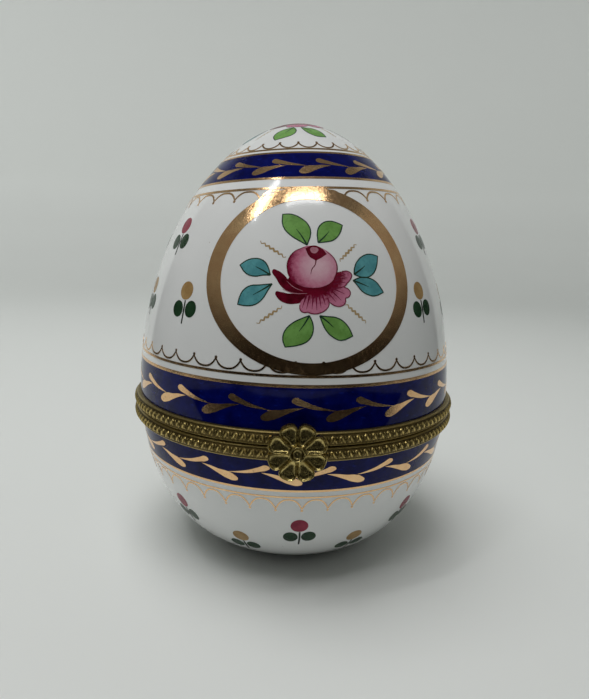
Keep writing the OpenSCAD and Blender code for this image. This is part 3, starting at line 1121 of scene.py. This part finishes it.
STRIP_BRASS = brass(
    "bezel brass", (0.60, 0.46, 0.17), (0.16, 0.12, 0.045), (33.5, 33.95), rough=0.26
)
STRIP_HOLLOW = brass(
    "bezel hollow", (0.20, 0.145, 0.05), (0.045, 0.032, 0.012), (33.4, 33.9), rough=0.42
)
HINGE_BRASS = brass("hinge brass", (0.52, 0.42, 0.20), (0.16, 0.12, 0.05), dirt=900.0)
CLASP_BRASS = brass("clasp brass", (0.55, 0.44, 0.17), (0.12, 0.09, 0.035), dirt=700.0, rough=0.20)

# %% [markdown]
# ## The bezels
# Each rim is set in a strip of stamped brass with a plain bead on both edges and a wavy scroll
# between them. The strip is turned with its lip and inner skirt as one ring. One wave of the
# scroll is drawn flat, laid on the strip, raised along its middle and repeated round.

# %% Strips and scrolls
STRIP_H = SEAM - STRIP_LOW
GAP = 0.05 * MM
SWELL = 0.8  # how far the middle of the face stands out, in mm
EDGE_R = STRIP_R - SWELL * MM
GROUND = 0.19  # how deep the ground of the scroll lies, in mm
WAVES, WAVE_UP, WAVE_PEN, WAVE_R, RAISED = 144, 0.56, 0.36, 34.1, 0.15
BEAD, BEAD_UP = (0.30, 0.32), 0.40
BACK_SINK, SKIRT_GAP, SKIRT_T, SKIRT_H = 0.55, 0.35 * MM, 0.45 * MM, 1.6 * MM
BEAD_FACE = [(0, 0.12), (0.02, 0.04), (0.05, 0.0), (0.09, 0.0), (0.12, 0.04), (0.14, 0.14)]
STRIP_FACE = (
    BEAD_FACE
    + [(u, GROUND) for u in (0.17, 0.24, 0.32, 0.41, 0.5, 0.59, 0.68, 0.76, 0.83)]
    + [(1 - u, sink) for u, sink in BEAD_FACE[::-1]]
)


def strip_point(u, sink, side):
    """A point of the strip's face: u is 0 at the seam and 1 at the far edge, sink in mm."""
    radius = EDGE_R + (SWELL * sin(pi * u) - sink) * MM
    return radius, SEAM + side * (GAP + (STRIP_H - GAP) * u)


def ridge(piece, points):
    """Name the points that the embossing raises."""
    piece.vertex_groups.new(name="ridge").add(points, 1.0, "REPLACE")
    return piece


def bezel(side, name, node_name, body):
    """A strip and its scroll; side is 1 over the seam and -1 under it."""
    back = [strip_point(u, BACK_SINK, side) for u in (1.0, 0.85, 0.7, 0.5, 0.3, 0.14)]
    out_r, in_r = IN_R - SKIRT_GAP, IN_R - SKIRT_GAP - SKIRT_T
    skirt = [
        (out_r + 0.1 * MM, RIM), (out_r, RIM + 0.1 * MM), (out_r, SKIRT_H),
        ((out_r + in_r) / 2, SKIRT_H), (in_r, SKIRT_H - 0.06 * MM), (in_r, GAP + 0.12 * MM),
        (in_r + 0.12 * MM, GAP),
    ]
    face = [strip_point(u, sink, side) for u, sink in STRIP_FACE]
    skirt = [(r, SEAM + side * up) for r, up in skirt]
    strip = turn(name, face + back + skirt, 240, closed=True)
    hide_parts(node_name)
    finish(strip, body, STRIP_BRASS, 50)
    strip.data.materials.append(STRIP_HOLLOW)
    for cell in strip.data.polygons:
        u = side * (cell.center.z - SEAM) / STRIP_H
        if 0.15 < u < 0.85 and cell.center.xy.length > EDGE_R - 0.1 * MM:
            cell.material_index = 1
    ground = turn("ground", [strip_point(u / 10, GROUND, side) for u in range(1, 10)], 240)
    width = 2 * pi * WAVE_R / WAVES
    along = [k / 8 - 0.5 for k in range(9)]
    scroll = stroke([(x * width, WAVE_UP * cos(2 * pi * x), WAVE_PEN) for x in along], 1)
    unit = [ridge(scroll, [v.index for v in scroll.data.vertices if v.index % 3 == 1])]
    for x, y in ((0.0, -BEAD_UP), (0.5, BEAD_UP)):
        bead = dot(x * width, y, *BEAD, sides=6)
        ends = [v for e in bead.data.edges for v in e.vertices]
        unit.append(ridge(bead, [v for v in set(ends) if ends.count(v) > 3]))
    unit = join(unit, name + "_scroll")
    middle = Matrix.Translation((0, -STRIP_R - 3 * MM, SEAM + side * STRIP_H / 2))
    press(unit, middle @ upright(), ground, 0.01)
    work(unit, "DISPLACE", strength=RAISED * MM, mid_level=0.0, vertex_group="ridge")
    spin_round(thicken(unit), WAVES)
    bpy.data.objects.remove(ground)
    finish(unit, body, STRIP_BRASS, 60)


bezel(-1, "lower_strip", "lower_bezel", "base")
bezel(1, "upper_strip", "upper_bezel", "lid")

# %% [markdown]
# ## The flower of the clasp
# The flower is stamped too: eight petals hollowed like spoons, each with a raised rim, round a
# small cup. A petal is one outline that is filled, then extruded and shrunk in steps: the
# wall, the rim and the hollow. It is made once and turned round the centre.

# %% Clasp flower
FLOWER_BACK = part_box("clasp_flower")[1].y
ON_FLOWER = Matrix.Translation((0, FLOWER_BACK, SEAM)) @ upright()
PETALS = 8
HALF_PETAL = [(0.46, 1.3), (0.88, 2.2), (1.28, 3.1), (1.50, 3.9), (1.12, 4.68)]
PETAL_MIDDLE = 3.25
# (share of the outline, height in mm): wall, rim, hollow
PETAL_STEPS = [
    (1.0, 0.84), (0.985, 0.98), (0.95, 1.02), (0.91, 0.96), (0.87, 0.80), (0.78, 0.66),
    (0.64, 0.52), (0.46, 0.44), (0.28, 0.42), (0.10, 0.46),
]
HEART_R, HEART_T = 2.6 * MM, 0.36 * MM


def petal():
    """One petal, lying flat with its tip along +Y and its back at height 0."""
    left = [(-x, y) for x, y in HALF_PETAL[::-1]]
    shape = bezier([(0.0, 1.05, 0), *HALF_PETAL, (0.0, 4.95), *left], closed=True)
    shape.data.resolution_u = 3
    shape.data.fill_mode = "FULL"
    bpy.ops.object.convert(target="MESH")
    open_mesh(shape)
    bpy.ops.mesh.remove_doubles(threshold=1e-7)
    bpy.ops.mesh.edge_face_add()
    put_down()
    face_up(shape)
    open_mesh(shape)
    bpy.ops.mesh.select_mode(type="FACE")
    size, level = 1.0, 0.0
    for share, height in PETAL_STEPS:
        up = (0, 0, (height - level) * MM)
        bpy.ops.mesh.extrude_region_move(TRANSFORM_OT_translate={"value": up})
        bpy.ops.transform.resize(
            value=(share / size, share / size, 1), center_override=(0, PETAL_MIDDLE * MM, 0)
        )
        size, level = share, height
    bpy.ops.mesh.select_all(action="SELECT")
    bpy.ops.mesh.normals_make_consistent(inside=False)
    put_down()
    return shape


one = petal()
petals = [one] + [twin(one, "petal") for _ in range(PETALS - 1)]
for k, p in enumerate(petals):
    p.rotation_euler = (0, 0, 2 * pi * (k + 0.5) / PETALS)
    bake_place(p)
put_down()
bpy.ops.mesh.primitive_cylinder_add(
    vertices=48, radius=HEART_R, depth=HEART_T, location=(0, 0, HEART_T / 2)
)
heart = bpy.context.object
bake_place(heart)
work(heart, "BEVEL", width=0.08 * MM, segments=2)
flower = join([*petals, heart], "flower")
flower.matrix_world = ON_FLOWER
bake_place(flower)
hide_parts("clasp_flower")
finish(flower, "clasp", CLASP_BRASS, 40)

# %% [markdown]
# The cup in the middle is the head of the rivet that holds the flower on its spring. It has a
# raised rim and a hollow with a small point left by the punch, and the other end is spread
# behind the tongue.

# %% Rivet cup
r_low, r_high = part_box("clasp_rivet")
HEAD = (FLOWER_BACK - r_low.y) / MM
TAIL = (r_high.y - FLOWER_BACK) / MM
# (radius, depth under the cup's top) in mm
CUP = [
    (0.0, 0.72), (0.12, 0.74), (0.3, 0.78), (0.6, 0.72), (0.85, 0.52), (1.0, 0.22), (1.08, 0.06),
    (1.16, 0), (1.26, 0.02), (1.34, 0.12), (1.38, 0.35), (1.40, 0.75), (1.42, 1.2), (0.58, 1.25),
]
cup_profile = [(r, HEAD - sink) for r, sink in CUP]
cup_profile += [(0.58, 0.06 - TAIL), (0.5, -TAIL), (0.0, -TAIL)]
cup = turn("rivet_cup", [(r * MM, h * MM) for r, h in cup_profile], 48)
cup.matrix_world = ON_FLOWER
bake_place(cup)
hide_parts("clasp_rivet")
finish(cup, "clasp", CLASP_BRASS, 50)

# %% [markdown]
# ## Small brass parts and cement
# The tongue, the saddle, the catch and the hinge are plain soldered brass, and the model has
# their true shapes, so they only get their finish. So do the rings of cement.


# %% Finishes of the small parts
def cement_mix():
    """Matte plaster with a few dark grains."""
    mat, tree, bsdf = shader("bezel cement", IOR=1.4)
    flow = place_group(tree, glaze_flow, Wave=3000.0, Speck=2200.0)
    body = blend_colour(flow["Height"], (0.60, 0.56, 0.48), (0.75, 0.71, 0.63))
    colour = blend_colour(flow["Specks"], body, (0.30, 0.27, 0.22))
    tint(bsdf, colour, spread(flow["Height"], 0.3, 0.7, 0.7, 0.95))
    relief(flow["Height"], bsdf, 0.08)
    return mat


FINISHES = {
    cement_mix(): ("lower_cement", "upper_cement"),
    CLASP_BRASS: ("catch_plate", "catch_stud", "clasp_saddle", "clasp_tongue"),
    HINGE_BRASS: (
        "hinge_leaf_lower", "hinge_leaf_upper", "hinge_knuckle_left", "hinge_knuckle_right",
        "hinge_knuckle_center", "hinge_pin",
    ),
}
for mat, parts in FINISHES.items():
    for part in parts:
        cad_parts[part].data.materials.clear()
        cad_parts[part].data.materials.append(mat)
    print(mat.name, "on", len(parts), "parts")

# %% [markdown]
# ## Table, room and light
# The egg stands on a pale table that sweeps up into a pale wall all round, so that every side
# has a calm background.

# %% Table and wall
sweep = [
    (0.0, 0.0), (0.30, 0.0), (0.54, 0.0), (0.62, 0.004), (0.68, 0.018), (0.73, 0.045),
    (0.765, 0.09), (0.78, 0.16), (0.78, 1.0),
]
room = turn("table_and_wall", sweep, 96)
face_up(room)
hold(room)
bpy.ops.object.shade_smooth()
mat, tree, bsdf = shader("pale table", Specular_IOR_Level=0.2)
where = whereabouts(tree)
across = node(tree, "SeparateXYZ")
wire(where, across.inputs[0])
# Painted shade and painted light: table and wall are painted darker towards +X, and the wall is
# painted paler than the table.
painted_side_shade = spread(across.outputs["X"], -0.45, 0.45)
table_tone = blend_colour(painted_side_shade, (0.80, 0.82, 0.80), (0.70, 0.72, 0.70))
wall_tone = blend_colour(painted_side_shade, (0.95, 0.97, 0.95), (0.82, 0.84, 0.82))
tone = blend_colour(spread(across.outputs["Z"], 0.0, 0.14), table_tone, wall_tone)
tint(bsdf, tone, spread(noise(where, 6.0, 2.0), 0.0, 1.0, 0.7, 0.85))
room.data.materials.append(mat)

# %% [markdown]
# The ceiling light makes the soft shadow, and the two windows draw the glints on the glaze.
# The world adds a faint even light from everywhere.


# %% Light
def soft_light(name, place, aim, size, power):
    """A rectangular soft light at a place, turned to look at a height in m over the foot."""
    put_down()
    bpy.ops.object.light_add(type="AREA", location=place)
    lamp = bpy.context.object
    lamp.name = name
    lamp.data.shape = "RECTANGLE"
    lamp.data.size, lamp.data.size_y = size
    lamp.data.energy = power
    look = Vector((0, 0, aim)) - Vector(place)
    lamp.rotation_euler = look.to_track_quat("-Z", "Y").to_euler()
    return lamp


CEILING_WATTS, WINDOW_WATTS, WORLD_GLOW = 3.5, 0.25, 0.12
ceiling = soft_light("ceiling", (-0.13, -0.05, 0.80), 0.03, (0.6, 0.5), CEILING_WATTS)
ceiling.visible_glossy = False
soft_light("window", (0.03, -0.20, 0.55), 0.05, (0.24, 0.05), WINDOW_WATTS)
soft_light("side_window", (-0.215, -0.15, 0.55), 0.05, (0.035, 0.22), WINDOW_WATTS)

world = bpy.data.worlds.new("room light")
bpy.context.scene.world = world
world.use_nodes = True
glow = world.node_tree.nodes["Background"]
glow.inputs["Color"].default_value = (0.93, 0.95, 0.93, 1)
glow.inputs["Strength"].default_value = WORLD_GLOW
print("lights:", [lamp.name for lamp in bpy.data.lights])

# %% [markdown]
# The dark card is half a cylinder in front, open at the top, and is painted shade for the dark
# room in front. Two wings stand beside the box and a mat lies before it on the table; these three
# are seen only by reflections, as painted dark reflections.


# %% Dark cards
def shade(piece, name, size=None):
    """Size a dark card and hide it from everything but soft light and reflections."""
    piece.name = name
    if size:
        piece.scale = (*size, 1)
        piece.visible_diffuse = False
    bake_place(piece)
    piece.data.materials.append(DARK)
    piece.visible_camera = piece.visible_shadow = piece.visible_transmission = False


# Painted shade and painted light: the cards are near black low down and in the middle, and painted
# paler higher up and towards the sides.
DARK, tree, bsdf = shader("dark card", Roughness=0.9)
level = node(tree, "SeparateXYZ")
wire(whereabouts(tree), level.inputs[0])
across = calc("ABSOLUTE", level.outputs["X"])
upper = spread(level.outputs["Z"], 0.08, 0.19)
lit = calc("MULTIPLY", upper, spread(across, 0.10, 0.24))
wire(blend_colour(lit, (0.010, 0.009, 0.008), (0.30, 0.29, 0.27)), bsdf.inputs["Base Color"])
put_down()
bpy.ops.mesh.primitive_cylinder_add(
    vertices=96, radius=0.32, depth=0.36, end_fill_type="NOTHING", location=(0, 0, 0.19)
)
card = bpy.context.object
shade(card, "dark_card")
open_mesh(card)
bpy.ops.mesh.bisect(plane_co=(0, 0.02, 0), plane_no=(0, 1, 0), clear_outer=True)
put_down()
for side in (-1, 1):
    bpy.ops.mesh.primitive_plane_add(
        size=1.0, location=(side * 0.30, 0.08, 0.17), rotation=(0, radians(90), 0)
    )
    shade(bpy.context.object, "dark_wing", (0.33, 0.24))
    put_down()
bpy.ops.mesh.primitive_plane_add(size=1.0, location=(0, -0.19, 0.0005))
shade(bpy.context.object, "dark_mat", (0.5, 0.24))

# %% [markdown]
# ## Camera
# The box is seen from the front at about the height of the upper part of the lid, close up,
# with the camera tilted down a little and not quite level.

# %% Camera, and the helpers removed
EYE = ABOUT @ Vector((0, -118.3 * MM, 62.6 * MM))
DOWNWARDS, LEVEL_TIP = 10.8, 1.66
put_down()
bpy.ops.object.camera_add(location=EYE)
camera = bpy.context.object
look = ABOUT @ upright(90 - DOWNWARDS) @ Matrix.Rotation(radians(LEVEL_TIP), 4, "Z")
camera.rotation_euler = look.to_euler()
camera.data.lens = 27.9
camera.data.sensor_width = 36
camera.data.clip_start = 0.005
bpy.context.scene.camera = camera
bpy.context.scene.view_settings.view_transform = "Standard"

for helper in (lid_skin, bowl_skin, nib):
    bpy.data.objects.remove(helper)
